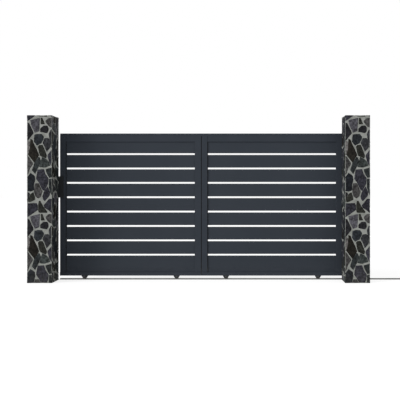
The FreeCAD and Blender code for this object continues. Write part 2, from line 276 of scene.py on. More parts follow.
def worn(tree, given):
    """Paint that has rubbed off along edges, found by comparing the face with a rounded copy of itself."""
    rounded = wire(tree, "ShaderNodeBevel", {"Radius": given["Width"]}, samples=4).outputs["Normal"]
    flat = wire(tree, "ShaderNodeNewGeometry").outputs["Normal"]
    same = wire(tree, "ShaderNodeVectorMath", {0: rounded, 1: flat}, operation="DOT_PRODUCT").outputs["Value"]
    chips = spread(tree, speckle(tree, 60.0, 6.0), 0.5, 0.62)
    edge = maths(tree, "MULTIPLY", spread(tree, same, 0.995, 0.85), chips)
    mask = maths(tree, "MULTIPLY", edge, given["Wear"])
    return {"Colour": mix_colours(tree, mask, given["Colour"], given["Bare"])}


CLOUDY = new_group("cloudy_patches", cloudy, Colour=GREY, Patch=GREY, Scale=5.0, Strength=0.5)
GRAIN = new_group("fine_grain", grainy, Scale=400.0, Roughness=0.5, Swing=0.1)
DUST = new_group("settled_dust", dusty, Colour=GREY, Dirt=GREY, Dust=0.4, Splash=0.3, Height=0.25)
WEAR = new_group("edge_wear", worn, Colour=GREY, Bare=GREY, Wear=0.5, Width=0.0015)
print("groups:", [g.name for g in (CLOUDY, GRAIN, DUST, WEAR)])

# %% [markdown]
# ## Finishes
# Every finish runs through the same steps, as a painter would: the coat's colour with cloudy patches, then
# dust, then wear along the edges. Grain then gives the roughness and a fine bump. What differs is the
# numbers.

# %% A finish from its numbers
BARE_STEEL = seen(150, 150, 148)
USUAL = {"patches": 4.0, "strength": 0.5, "dirt": (140, 138, 130), "dust": 0.35, "splash": 0.2, "wear": 0.0}
USUAL |= {"grains": 900.0, "swing": 0.12, "bump": 0.15, "distance": 0.0004, "metallic": 0.0, "specular": 0.5}
SLOT_OF = {}


def layer(tree, group, **inputs):
    """Places a node group in a material, and gives its outputs."""
    return wire(tree, "ShaderNodeGroup", inputs, node_tree=group).outputs


def close_material(tree, colour, rough, **numbers):
    """Ends a material: dust, wear along edges, and the shader with its grain and its plain numbers."""
    n = {**USUAL, **numbers}
    dirt = seen(*n["dirt"])
    colour = layer(tree, DUST, Colour=colour, Dirt=dirt, Dust=n["dust"], Splash=n["splash"])["Colour"]
    if n["wear"]:
        colour = layer(tree, WEAR, Colour=colour, Bare=BARE_STEEL, Wear=n["wear"])["Colour"]
    grain = layer(tree, GRAIN, Scale=n["grains"], Roughness=rough, Swing=n["swing"])
    inputs = {"Strength": n["bump"], "Distance": n["distance"], "Height": grain["Height"]}
    bumped = wire(tree, "ShaderNodeBump", inputs).outputs["Normal"]
    inputs = {"Base Color": colour, "Roughness": grain["Roughness"], "Normal": bumped}
    inputs |= {"Metallic": n["metallic"], "Specular IOR Level": n["specular"]}
    shader = wire(tree, "ShaderNodeBsdfPrincipled", inputs)
    wire(tree, "ShaderNodeOutputMaterial", {"Surface": shader.outputs[0]})


def finish(name, slot, base, patch, rough, **numbers):
    """A whole finish from its slot in the record, its two colours as seen, and its numbers."""
    n = {**USUAL, **numbers}
    made, tree = new_material(name)
    SLOT_OF[name] = slot
    colours = {"Colour": seen(*base), "Patch": seen(*patch)}
    colour = layer(tree, CLOUDY, **colours, Scale=n["patches"], Strength=n["strength"])["Colour"]
    close_material(tree, colour, rough, **n)
    return made


print("usual numbers of a finish:", sorted(USUAL))

# %% [markdown]
# The leaf is aluminium with a matt anthracite powder coat, which has the very fine orange peel of baked
# powder. The rail is galvanised steel, dull and slightly patchy. Brackets and roller forks are black painted
# steel that has chipped a little along its edges. Bolts are zinc plated, wheels are turned steel, rollers and
# pads are nylon, and buffers are rubber.

# %% The metal, nylon and rubber finishes
POWDER = {"specular": 0.12, "bump": 0.1, "dust": 0.06, "splash": 0.03}
PAINT = {"specular": 0.2, "wear": 0.4, "dust": 0.12, "splash": 0.1, "patches": 12.0, "grains": 500.0}
FORK = {"specular": 0.2, "patches": 12.0, "splash": 0.1}
ZINC = {"metallic": 0.55, "patches": 30.0, "grains": 300.0, "dust": 0.25}
BOLT = {"metallic": 0.85, "patches": 60.0}
AXLE = {"metallic": 0.5, "patches": 60.0}
TURNED = {"metallic": 0.4, "patches": 45.0, "splash": 0.05}
WELD = {"patches": 150.0, "grains": 700.0}
RUBBER = {"patches": 30.0, "grains": 350.0}

leaf_coat = finish("anthracite_powder_coat", "leaf_frame", (47, 52, 59), (52, 56, 64), 0.72, **POWDER)
slat_coat = finish("anthracite_slat_coat", "slat", (47, 52, 59), (51, 56, 63), 0.7, patches=2.2, **POWDER)
rail_zinc = finish("galvanised_rail", "rail_steel", (128, 130, 128), (108, 110, 109), 0.5, **ZINC)
black_paint = finish("black_paint", "black_steel", (26, 28, 30), (31, 34, 36), 0.55, **PAINT)
fork_paint = finish("roller_fork_paint", "black_steel", (42, 44, 48), (36, 37, 40), 0.6, **FORK)
weld_steel = finish("painted_weld", "black_steel", (28, 30, 31), (40, 41, 41), 0.5, **WELD)
bolt_zinc = finish("zinc_plated_bolts", "bolt_steel", (150, 150, 146), (128, 126, 120), 0.38, **BOLT)
axle_steel = finish("blackened_axle_bolts", "bolt_steel", (64, 64, 66), (50, 50, 52), 0.45, **AXLE)
wheel_steel = finish("turned_wheel_steel", "wheel_steel", (50, 50, 52), (40, 40, 42), 0.5, **TURNED)
nylon = finish("black_nylon", "nylon", (34, 34, 35), (40, 40, 41), 0.42, patches=25.0)
rubber = finish("black_rubber", "rubber", (28, 28, 28), (36, 36, 35), 0.78, specular=0.3, **RUBBER)
# Near-black, so that the strips in it read as the shade of a deep groove: partly painted shade.
seal_and_painted_shade = finish("black_seal_and_painted_shade", "rubber", (13, 13, 14), (19, 19, 20), 0.9, specular=0.15, **RUBBER)
print("finishes:", sorted(m.name for m in bpy.data.materials))

# %% [markdown]
# Stone and mortar need two more things. Each stone has its own tint, which is stored on its mesh as a colour
# attribute, and the stone material varies that tint with veins and specks. Mortar is sand and cement, so its
# grain is coarse and deep, and it is darker and greener near the ground.

# %% Stone and mortar finishes
STONE = {"dust": 0.18, "splash": 0.1, "grains": 190.0, "swing": 0.2, "specular": 0.1}
STONE |= {"bump": 0.7, "distance": 0.0022}
MORTAR = {"dirt": (98, 101, 92), "dust": 0.3, "splash": 0.4, "grains": 420.0, "swing": 0.1, "specular": 0.2}
MORTAR |= {"bump": 0.6, "distance": 0.0012}


def stone_finish():
    """Natural stone whose tint is stored on the mesh."""
    made, tree = new_material("split_stone")
    tint = wire(tree, "ShaderNodeAttribute", attribute_name="stone_tint").outputs["Color"]
    darker, pale = scaled(tree, tint, 0.5), scaled(tree, tint, 1.7)
    colour = layer(tree, CLOUDY, Colour=tint, Patch=darker, Scale=17.0, Strength=0.75)["Colour"]
    veins = spread(tree, speckle(tree, 42.0, 8.0), 0.56, 0.74, 0.0, 0.5)
    colour = mix_colours(tree, veins, colour, pale)
    specks = spread(tree, speckle(tree, 300.0, 6.0), 0.4, 0.62, 0.0, 0.5)
    colour = mix_colours(tree, specks, colour, darker)
    mottle = spread(tree, speckle(tree, 50.0), 0.36, 0.64, 0.5, 1.6)
    close_material(tree, scaled(tree, colour, mottle), 0.78, **STONE)
    return made


def mortar_finish():
    """Sandy mortar."""
    made, tree = new_material("sandy_mortar")
    pale, grey = seen(151, 153, 149), seen(118, 121, 116)
    colour = layer(tree, CLOUDY, Colour=pale, Patch=grey, Scale=14.0, Strength=0.8)["Colour"]
    sand = spread(tree, speckle(tree, 520.0, 2.0), 0.35, 0.7, 0.0, 0.45)
    colour = mix_colours(tree, sand, colour, seen(98, 98, 92))
    close_material(tree, colour, 0.9, **MORTAR)
    return made


stone, mortar = stone_finish(), mortar_finish()
SLOT_OF |= {stone.name: "pillar", mortar.name: "pillar"}
print("stone and mortar are ready")

# %% [markdown]
# ## Pieces
# A finished piece is one mesh whose place is in its vertices. It rides on a body of the CAD model, takes a
# slot of the record, and hides the plain CAD nodes that it stands for. `new_piece` opens an empty mesh to
# draw in, and does all of that when the drawing is done. Straight members are sections swept along an axis
# and round ones are profiles turned about it, as bars and turned parts are made.

# %% Helpers for pieces
AXES = {"x": (1, 2, 0), "y": (0, 2, 1), "z": (0, 1, 2)}
LIP = 0.0006


def flat_mesh(name, bm, smooth=0):
    """Turns a bmesh into a mesh with outward faces, smooth across edges up to an angle if one is given."""
    bmesh.ops.recalc_face_normals(bm, faces=bm.faces)
    mesh = bpy.data.meshes.new(name)
    bm.to_mesh(mesh)
    bm.free()
    if smooth:
        mesh.shade_smooth()
        mesh.set_sharp_from_angle(angle=math.radians(smooth))
    return mesh


def add_piece(name, mesh, coat, body, *replaced):
    """Adds a mesh as a piece of the gate, in place of the CAD nodes that it replaces."""
    piece = place(name, mesh)
    mesh.materials.append(coat)
    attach(piece, body)
    if replaced:
        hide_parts(*replaced)


@contextmanager
def new_piece(name, coat, body, *replaced, smooth=0):
    """Opens a bmesh for a piece to be drawn in, and adds the piece once it is drawn."""
    bm = bmesh.new()
    yield bm
    add_piece(name, flat_mesh(name, bm, smooth), coat, body, *replaced)


def round_corners(outline, radius, steps=3):
    """Rounds the corners of a closed outline, by one radius or by one for each corner."""
    made = []
    for i, corner in enumerate(outline):
        here = Vector(corner)
        r = radius[i] if isinstance(radius, list) else radius
        sides = [Vector(outline[i - 1]) - here, Vector(outline[(i + 1) % len(outline)]) - here]
        start, end = [here + s.normalized() * min(r, s.length * 0.45) for s in sides]
        for k in range(steps + 1):
            t = k / steps
            made.append(start * (1 - t) ** 2 + here * 2 * t * (1 - t) + end * t**2)
    return made


def spot(axis, a, b, along):
    """A point from its two places across an axis and its place along it."""
    return {"x": (along, a, b), "y": (a, along, b), "z": (a, b, along)}[axis]


def sweep(bm, outline, axis, start, end, lip=0.0):
    """Pushes a closed outline straight along an axis, and chamfers its two ends by lip."""
    rings = [[bm.verts.new(spot(axis, a, b, at)) for a, b in outline] for at in (start, end)]
    caps = [bm.faces.new(ring) for ring in rings]
    for i in range(len(outline)):
        bm.faces.new((rings[0][i - 1], rings[0][i], rings[1][i], rings[1][i - 1]))
    if lip:
        edges = [e for cap in caps for e in cap.edges]
        bmesh.ops.bevel(bm, geom=edges, offset=lip, segments=1, affect="EDGES")


def bar(bm, low, high, axis, radius, lip=LIP):
    """A straight bar with rounded long edges between two corners."""
    first, second, along = AXES[axis]
    a0, a1, b0, b1 = low[first], high[first], low[second], high[second]
    outline = round_corners([(a0, b0), (a1, b0), (a1, b1), (a0, b1)], radius)
    sweep(bm, outline, axis, low[along], high[along], lip)


def lathe(bm, profile, centre, axis, sides=32):
    """Turns a profile of (radius, place along the axis) round an axis; a radius of 0 closes it."""
    closed = profile[0] == profile[-1]
    rings = []
    for radius, along in profile[:-1] if closed else profile:
        ring = []
        for k in range(sides if radius > 0 else 1):
            angle = 2 * math.pi * (k + 0.5) / sides
            offset = spot(axis, radius * math.cos(angle), radius * math.sin(angle), along)
            ring.append(bm.verts.new([c + o for c, o in zip(centre, offset)]))
        rings.append(ring)
    for one, two in zip(rings, rings[1:] + rings[:1] if closed else rings[1:]):
        for k in range(sides):
            corners = [one[k % len(one)], one[(k + 1) % len(one)], two[(k + 1) % len(two)], two[k % len(two)]]
            unique = list(dict.fromkeys(corners))
            if len(unique) > 2:
                bm.faces.new(unique)


print("helpers are ready")

# %% [markdown]
# ## The stone facing
# The pillars are faced with crazy paving: flat split stones of all shapes in a bed of mortar. Each stone is
# given as an outline in millimetres, across from the left and down from the top. The pattern comes
# round again every 1150 mm. The other faces of the pillar take it at other heights, some in mirror image, and
# bend its outlines a little, so that no two faces look alike. At the corners the stones are mitred, as cut
# facing is.

# %% The outlines of the stones
PATTERN = 1150
TINTS = {
    "night": (31, 34, 39),
    "coal": (33, 33, 36),
    "lilac": (77, 76, 82),
    "moss": (41, 42, 38),
    "warm": (63, 62, 62),
    "plum": (46, 46, 53),
    "blue": (39, 43, 47),
    "slate": (48, 49, 52),
    "brown": (29, 27, 23),
    "ash": (55, 60, 59),
    "teal": (40, 44, 45),
    "pale": (108, 105, 104),
}
STONES = [
    ("plum", [(-30, 1061), (118, 1057), (129, 1083), (129, 1134), (16, 1213), (-30, 1204)]),
    ("lilac", [(46, 64), (90, 53), (153, 38), (150, 120), (145, 190), (98, 207), (88, 185), (61, 131)]),
    ("moss", [(171, 38), (184, 36), (212, 106), (171, 108)]),
    ("warm", [(229, 71), (263, 40), (335, 36), (335, 142), (292, 143), (269, 134), (233, 89)]),
    ("coal", [(165, 170), (174, 155), (204, 130), (245, 131), (257, 155), (257, 185), (242, 214),
        (165, 198)]),
    ("coal", [(-30, 98), (25, 98), (76, 202), (76, 220), (13, 300), (-30, 306)]),
    ("pale", [(-30, 330), (20, 312), (34, 326), (34, 405), (16, 470), (-30, 482)]),
    ("brown", [(46, 289), (67, 298), (78, 334), (120, 418), (144, 480), (91, 565), (22, 474), (22, 442),
        (40, 400)]),
    ("blue", [(96, 238), (132, 229), (180, 232), (201, 262), (198, 286), (174, 334), (122, 361), (88, 316)]),
    ("slate", [(216, 281), (257, 278), (281, 304), (284, 382), (239, 436), (219, 382), (192, 332)]),
    ("slate", [(266, 226), (290, 178), (335, 172), (335, 392), (298, 388), (291, 322), (274, 280)]),
    ("moss", [(138, 378), (153, 362), (186, 361), (204, 394), (237, 484), (230, 514), (164, 486),
        (150, 448)]),
    ("plum", [(251, 492), (258, 470), (298, 424), (335, 416), (335, 596), (291, 598), (268, 548)]),
    ("ash", [(171, 556), (186, 507), (234, 530), (263, 562), (277, 604), (210, 625), (154, 617)]),
    ("teal", [(141, 505), (154, 510), (165, 546), (144, 610), (100, 698), (66, 660), (94, 574)]),
    ("warm", [(-30, 498), (16, 498), (70, 576), (70, 588), (37, 636), (14, 704), (-30, 716)]),
    ("teal", [(229, 652), (296, 632), (335, 630), (335, 734), (271, 747), (257, 724), (236, 680)]),
    ("plum", [(132, 655), (204, 651), (221, 705), (257, 757), (252, 820), (208, 903), (192, 896),
        (150, 808), (115, 760)]),
    ("night", [(-30, 752), (10, 742), (46, 696), (92, 730), (99, 776), (85, 826), (85, 896), (46, 912),
        (-30, 898)]),
    ("warm", [(99, 820), (142, 818), (184, 912), (168, 973), (138, 994), (108, 973), (91, 924)]),
    ("plum", [(248, 860), (276, 926), (270, 962), (216, 1026), (200, 1008), (192, 972), (207, 922)]),
    ("teal", [(268, 768), (335, 762), (335, 985), (296, 950), (268, 870)]),
    ("moss", [(78, 928), (93, 975), (98, 1010), (60, 1030), (24, 1040), (20, 1003), (46, 950)]),
    ("coal", [(-30, 924), (24, 930), (34, 944), (14, 1000), (8, 1040), (-30, 1046)]),
    ("moss", [(148, 1030), (162, 1032), (192, 1090), (243, 1157), (239, 1166), (151, 1163), (140, 1148),
        (140, 1068)]),
    ("plum", [(206, 1081), (268, 1006), (290, 1004), (335, 1030), (335, 1172), (298, 1166), (266, 1138),
        (216, 1106)]),
]
print(len(STONES), "stones in the pattern")

# %% [markdown]
# A stone's face is built in four steps. Its outline gets soft corners and a slightly broken edge, and is cut
# off at the edges of the pillar. Then rings of points just inside the outline carry the worn rim, and loose
# points fill the middle. A triangulation joins them. Last, every point sinks by its own depth: most at the
# rim, least in the middle, with some roughness all over.

# %% From an outline to the points of a stone
EDGE_STEP = 7.5
EDGE_SHAKE = 1.6
EDGE_WAVE = 22
GROW = 5.0
CORNER = 5.5
RIM = [(1.8, 0.85), (5.0, 0.9)]
FILL_STEP = 14
FILL_SHAKE = 4
FILL_WAVE = 9
FILL_MARGIN = 9


def rough(u, v, size, seed=0.0):
    """Soft noise on the flat pattern, from -1 to 1."""
    return noise.noise(Vector((u / size, v / size, seed)))


def turning(outline):
    """1 for a closed outline that runs one way round, and -1 for the other."""
    ends = zip(outline, outline[1:] + outline[:1])
    return 1 if sum(a[0] * b[1] - b[0] * a[1] for a, b in ends) > 0 else -1


def grown(outline):
    """The outline moved outwards on every side, so that the joints are as narrow as the real ones."""
    made = []
    side = turning(outline)
    for i, corner in enumerate(outline):
        here = Vector(corner)
        before = (here - Vector(outline[i - 1])).normalized()
        after = (Vector(outline[(i + 1) % len(outline)]) - here).normalized()
        outwards = Vector((before.y + after.y, -before.x - after.x)) * side
        made.append(tuple(here + outwards / max(1 + before.dot(after), 0.5) * GROW))
    return made


def broken_outline(outline, lift):
    """The outline with soft corners and a slightly uneven edge, as points a few millimetres apart."""
    corners = round_corners([(u, v + lift) for u, v in grown(outline)], CORNER)
    made = []
    for start, end in zip(corners, corners[1:] + corners[:1]):
        count = max(1, round((end - start).length / EDGE_STEP))
        for k in range(count):
            u, v = start.lerp(end, k / count)
            shake = [EDGE_SHAKE * rough(u, v, EDGE_WAVE, seed) for seed in (3.1, 8.4)]
            made.append((u + shake[0], v + shake[1]))
    return made


def cut_off(points, axis, limit, sign):
    """Cuts an outline along one edge of the face, and keeps what lies below it for 1, or above it for -1."""
    made = []
    for start, end in zip(points[-1:] + points[:-1], points):
        a, b = sign * (limit - start[axis]), sign * (limit - end[axis])
        if a * b < 0:
            t = a / (a - b)
            made.append(tuple(start[i] + (end[i] - start[i]) * t for i in (0, 1)))
        if b >= 0:
            made.append(end)
    return made


def distances(points, outline):
    """How far each point is from the nearest side of an outline."""
    p = np.array(points)[:, None, :]
    a = np.array(outline)[None, :, :]
    along = np.roll(a, -1, axis=1) - a
    t = np.clip(((p - a) * along).sum(2) / np.maximum((along**2).sum(2), 1e-9), 0, 1)
    return np.sqrt(((p - a - t[..., None] * along) ** 2).sum(2)).min(1)


def inside(points, outline):
    """Which points lie inside a closed outline."""
    p = np.array(points)
    a = np.array(outline)
    b = np.roll(a, -1, axis=0)
    crosses = (a[None, :, 1] > p[:, None, 1]) != (b[None, :, 1] > p[:, None, 1])
    run = np.where(b[:, 1] == a[:, 1], 1e-9, b[:, 1] - a[:, 1])
    u = a[None, :, 0] + (p[:, None, 1] - a[None, :, 1]) / run[None, :] * (b - a)[None, :, 0]
    return ((crosses & (p[:, None, 0] < u)).sum(1) % 2) == 1


def fill_points(outline):
    """Points inside an outline: two rings along its rim, and a loose grid in its middle."""
    closed = np.array(outline)
    tangent = np.roll(closed, -1, axis=0) - np.roll(closed, 1, axis=0)
    tangent /= np.maximum(np.linalg.norm(tangent, axis=1), 1e-9)[:, None]
    inward = np.stack([-tangent[:, 1], tangent[:, 0]], 1) * turning(outline)
    made = []
    for step, share in RIM:
        ring = closed + inward * step
        good = inside(ring, outline) & (distances(ring, outline) > step * share)
        made += [tuple(p) for p in ring[good]]
    low, high = closed.min(0), closed.max(0)
    columns, rows = [int((high[i] - low[i]) / FILL_STEP) + 1 for i in (0, 1)]
    grid = []
    for i, j in product(range(columns), range(rows)):
        u, v = low[0] + FILL_STEP * (i + 0.5 * (j % 2)), low[1] + FILL_STEP * j
        shake = [FILL_SHAKE * rough(u, v, FILL_WAVE, seed) for seed in (1.7, 5.2)]
        grid.append((u + shake[0], v + shake[1]))
    good = inside(grid, outline) & (distances(grid, outline) > FILL_MARGIN)
    return made + [p for p, keep in zip(grid, good) if keep]


print("a stone's rim is cut at", [step for step, share in RIM], "mm from its edge")

# %% [markdown]
# The five faces of a pillar differ only in how the flat pattern is laid on them: four sides by turns plain
# and in mirror image, each at its own height, and a square of the pattern on top.

# %% Lay the pattern on the faces
FACE = 305.0
HEIGHT = 2010.0
TOP = 4
TOP_START = 430.0
FACE_LIFT = [0.0, 430.0, 790.0, 260.0, 0.0]
BENDS = [(16.0, 180), (55.0, 260)]
ROUNDING = 5.0
RIM_DEPTH = 3.4
ARRIS_DEPTH = 1.3
STONE_BASE = 7.5
WAVES = [(0.75, 60, 2.2), (0.45, 17, 6.6)]
PROUD = 0.6
SHADE = 4
THINNEST = 3


def stone_depths(points, whole_outline, window, proud):
    """How deep each point of a stone lies below the face of the pillar, in millimetres."""
    far = distances(points, whole_outline)
    made = []
    for (u, v), d in zip(points, far):
        arris = min(u - window[0], window[1] - u, v - window[2], window[3] - v)
        rim = RIM_DEPTH * max(0.0, 1 - d / ROUNDING) ** 2
        corner = ARRIS_DEPTH * max(0.0, 1 - max(arris, 0) / ROUNDING) ** 2
        face = sum(depth * (1 + rough(u, v, size, seed)) for depth, size, seed in WAVES)
        made.append(min(proud + rim + corner + face, STONE_BASE - 1))
    return made


def bend(u, v, seed):
    """Moves a point of the pattern a little, by smooth noise."""
    moves = [most * rough(u, v, size, seed + 9 * i) for i, (most, size) in enumerate(BENDS)]
    return u + moves[0], v + moves[1]


def face_point(side, u, v, depth):
    """A point on one of the four sides or on the top, in metres, for a pillar whose foot is at the origin."""
    half = FACE / 2
    limit = half - depth
    if side == TOP:
        x, y = [max(-limit, min(limit, c - half)) for c in (u, FACE - (v - TOP_START))]
        return Vector((x, y, HEIGHT - depth)) / 1000
    across = max(-limit, min(limit, (u if side % 2 == 0 else FACE - u) - half))
    flat = Matrix.Rotation(math.pi / 2 * side, 3, "Z") @ Vector((across, -limit, 0))
    flat.z = min(HEIGHT - v, HEIGHT - depth)
    return flat / 1000


def add_stone(bm, tint_layer, tint, outline, window, side, proud):
    """One closed stone: face, sides and back."""
    cut = outline
    for i, limit in enumerate(window):
        cut = cut_off(cut, i // 2, limit, 1 if i % 2 else -1) if cut else cut
    if len(cut) < 3 or distances([np.mean(cut, axis=0)], cut)[0] < THINNEST:
        return
    points = cut + fill_points(cut)
    depths = stone_depths(points, outline, window, proud)
    made = geometry.delaunay_2d_cdt([Vector(p) for p in points], [], [list(range(len(cut)))], 1, 1e-4)
    flat, faces, origins = made[0], made[2], [origin[0] for origin in made[3]]
    front = [bm.verts.new(face_point(side, p.x, p.y, depths[o])) for p, o in zip(flat, origins)]
    edge = [i for i, o in enumerate(origins) if o < len(cut)]
    back = {i: bm.verts.new(face_point(side, *flat[i], STONE_BASE)) for i in edge}
    new_faces = [bm.faces.new([front[i] for i in face]) for face in faces]
    edge.sort(key=lambda i: origins[i])
    for i, j in zip(edge, edge[1:] + edge[:1]):
        new_faces.append(bm.faces.new((front[i], front[j], back[j], back[i])))
    new_faces.append(bm.faces.new([back[i] for i in edge]))
    for loop in [loop for face in new_faces for loop in face.loops]:
        loop[tint_layer] = seen(*tint)


def stone_facing():
    """All the stones of one pillar."""
    bm = bmesh.new()
    tint_layer = bm.loops.layers.float_color.new("stone_tint")
    names = list(TINTS)
    for side, repeat, (number, (name, outline)) in product(range(5), range(-1, 3), enumerate(STONES)):
        window = (0.0, FACE, TOP_START, TOP_START + FACE) if side == TOP else (0.0, FACE, 0.0, HEIGHT)
        whole = broken_outline(outline, repeat * PATTERN - FACE_LIFT[side])
        if side:
            name = names[(names.index(name) + side * 5 + number * 3) % (len(names) - 1)]
        if 0 < side < TOP:
            whole = [bend(u, v, side * 4.0) for u, v in whole]
        shift = SHADE * noise.noise(Vector((number * 1.7, repeat * 3.3, 0.5)))
        tint = [c * (1 + 0.02 * shift) + shift for c in TINTS[name]]
        proud = PROUD + PROUD * noise.noise(Vector((number * 2.3, repeat * 1.9, 7.5)))
        add_stone(bm, tint_layer, tint, whole, window, side, proud)
    return bm


facing = stone_facing()
print(len(facing.faces), "faces of stone on one pillar")

# %% [markdown]
# Behind the stones is the pillar's core with its mortar. It is a square column whose face lies a few
# millimetres back, and sags and swells a little between the stones as pointed mortar does.

# %% The mortar core and the two pillars
MORTAR_DEPTH = 4.6
CORE_STEP = 20.0
CORE_LEVELS = 100
TOP_RINGS = 8
LUMP = 30
SWELL = 0.8
SAG = 0.6


def mortar_core():
    """A square column with slightly uneven faces and a flat foot."""
    bm = bmesh.new()
    half, top = FACE / 2 - MORTAR_DEPTH, HEIGHT - MORTAR_DEPTH
    count = int(FACE / CORE_STEP)
    square = []
    for side in range(4):
        turn = Matrix.Rotation(math.pi / 2 * side, 3, "Z")
        square += [turn @ Vector((-half + 2 * half * k / count, -half, 0)) for k in range(count)]
    levels = [(1.0, top * k / CORE_LEVELS) for k in range(CORE_LEVELS + 1)]
    levels += [(1 - k / TOP_RINGS, top) for k in range(1, TOP_RINGS)]
    rings = []
    for share, z in levels:
        ring = []
        for p in square:
            swell = 1 + SWELL * noise.noise(Vector((p.x / LUMP, p.y / LUMP, z / LUMP))) / half
            x, y = p.x * share, p.y * share
            lift = SAG * noise.noise(Vector((x / LUMP, y / LUMP, 4.4))) if share < 1 else 0
            ring.append(bm.verts.new((x * swell / 1000, y * swell / 1000, (z + lift) / 1000)))
        rings.append(ring)
    for low, high in zip(rings, rings[1:]):
        for k in range(len(square)):
            bm.faces.new((low[k - 1], low[k], high[k], high[k - 1]))
    bm.faces.new(rings[0])
    bm.faces.new(rings[-1])
    return bm


stone_mesh = flat_mesh("stone_facing", facing, 38)
core_mesh = flat_mesh("mortar_core", mortar_core(), 60)
for name in ("left_pillar", "right_pillar"):
    low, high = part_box(name)
    middle = Matrix.Translation(((low.x + high.x) / 2, (low.y + high.y) / 2, low.z))
    stones, core = stone_mesh.copy(), core_mesh.copy()
    stones.transform(middle)
    core.transform(middle)
    add_piece(f"{name}_stones", stones, stone, "root")
    add_piece(f"{name}_mortar", core, mortar, "root", name)
    print(name, len(stones.polygons), "stone faces", len(core.polygons), "mortar faces")

# %% [markdown]
# ## Repeats with Geometry Nodes
# Slats, bolts, screws and the ripples of a weld are one shape many times over. One node tree makes all of
# them: it draws a line of points, moves every second point sideways if asked, puts the shape on each, and
# turns the copies into real mesh at the end.


# %% The tree that repeats a shape
def row_tree():
    """A Geometry Nodes tree that repeats its shape in a row."""
    tree = bpy.data.node_groups.new("repeat_in_a_row", "GeometryNodeTree")
    sockets = {"Shape": "Geometry", "Count": "Int", "Step": "Vector", "Zigzag": "Vector"}
    for label, kind in {**sockets, "Finish": "Material"}.items():
        tree.interface.new_socket(label, in_out="INPUT", socket_type=f"NodeSocket{kind}")
    tree.interface.new_socket("Row", in_out="OUTPUT", socket_type="NodeSocketGeometry")
    start = wire(tree, "NodeGroupInput").outputs
    shape, count, step, zigzag, coat = [start[label] for label in (*sockets, "Finish")]
    line = wire(tree, "GeometryNodeMeshLine", {"Count": count, "Offset": step}, mode="OFFSET").outputs[0]
    odd = maths(tree, "MODULO", wire(tree, "GeometryNodeInputIndex").outputs[0], 2.0)
    aside = scaled(tree, zigzag, odd)
    points = wire(tree, "GeometryNodeSetPosition", {"Geometry": line, "Offset": aside}).outputs[0]
    copies = wire(tree, "GeometryNodeInstanceOnPoints", {"Points": points, "Instance": shape}).outputs[0]
    real = wire(tree, "GeometryNodeRealizeInstances", {"Geometry": copies}).outputs[0]
    painted = wire(tree, "GeometryNodeSetMaterial", {"Geometry": real, "Material": coat}).outputs[0]
    wire(tree, "NodeGroupOutput", {"Row": painted})
    return tree


ROW = row_tree()
ROW_INPUTS = {item.name: item.identifier for item in ROW.interface.items_tree if item.in_out == "INPUT"}


def draw_row(bm, shape, count, step, coat, zigzag=(0, 0, 0)):
    """Draws copies of a shape, made by the tree above, in a bmesh."""
    holder = place("row_holder", shape)
    modifier = holder.modifiers.new("row", "NODES")
    modifier.node_group = ROW
    values = {"Count": count, "Step": step, "Zigzag": zigzag, "Finish": coat}
    for label, value in values.items():
        modifier[ROW_INPUTS[label]] = value
    evaluated = holder.evaluated_get(bpy.context.evaluated_depsgraph_get())
    bm.from_mesh(bpy.data.meshes.new_from_object(evaluated))
    holder.modifiers.clear()
    bpy.data.objects.remove(holder)


print("row inputs:", ROW_INPUTS)

# %% [markdown]
# ## The leaf's frame
# The uprights and the top rail are hollow aluminium extrusions with small rounded edges, 40 mm deep, and each
# has a groove on its inner side that takes the slats. The bottom rail lies flush with the slats in front, and
# the lowest slat sits in a step along its top. Each section is drawn once and swept along the member, which
# is how an extrusion is really made. The fine V between two members comes from the chamfers at their ends.

# %% Uprights and rails
PANELS = ("left_panel", "right_panel")
EDGE = 0.0015
FINE = 0.0004
END_CHAMFER = 0.0008
SLAT_MIDDLE = 0.010
GROOVE_HALF = 0.0103
GROOVE_DEEP = 0.010
HOUSING = 0.016
SHADOW_STRIP_WIDTH = 0.0068
SEAT_DEEP = 0.004
JOINT_SEAT = 0.003


def groove(low, high):
    """The front and the back of the groove that takes the slats."""
    middle = (low.y + high.y) / 2
    return middle - GROOVE_HALF, middle + GROOVE_HALF


def left_stile(low, high, joint_seat=0.0):
    """Grooved for the slats, with seats in front for the slats' painted shadow strip and the joint's strip.
    """
    near, far = groove(low, high)
    seat, deep, shoulder = low.y + SEAT_DEEP, high.x - GROOVE_DEEP, high.x - SHADOW_STRIP_WIDTH
    outline = [(shoulder, low.y), (shoulder, seat), (high.x, seat), (high.x, near), (deep, near), (deep, far)]
    outline += [(high.x, far), (high.x, high.y), (low.x, high.y)]
    if not joint_seat:
        return outline + [(low.x, low.y)], [FINE] * 7 + [EDGE] * 3
    outline += [(low.x, seat), (low.x + joint_seat, seat), (low.x + joint_seat, low.y)]
    return outline, [FINE] * 7 + [EDGE] * 2 + [FINE] * 3


def right_stile(low, high):
    """A rectangle with the groove in its left side."""
    near, far = groove(low, high)
    deep = low.x + GROOVE_DEEP
    outline = [(low.x, low.y), (high.x, low.y), (high.x, high.y), (low.x, high.y)]
    return outline + [(low.x, far), (deep, far), (deep, near), (low.x, near)], [EDGE] * 4 + [FINE] * 4


def top_rail(low, high):
    """A rectangle with the groove along its underside."""
    near, far = groove(low, high)
    deep = low.z + HOUSING
    outline = [(low.y, low.z), (near, low.z), (near, deep), (far, deep), (far, low.z)]
    return outline + [(high.y, low.z), (high.y, high.z), (low.y, high.z)], [EDGE] + [FINE] * 4 + [EDGE] * 3


def bottom_rail(low, high):
    """A rectangle with a step in front that the lowest slat stands on."""
    tread, riser = high.z - HOUSING, low.y + SLAT_MIDDLE + GROOVE_HALF
    outline = [(low.y, low.z), (high.y, low.z), (high.y, high.z)]
    return outline + [(riser, high.z), (riser, tread), (low.y, tread)], [FINE] + [EDGE] * 2 + [FINE] * 3


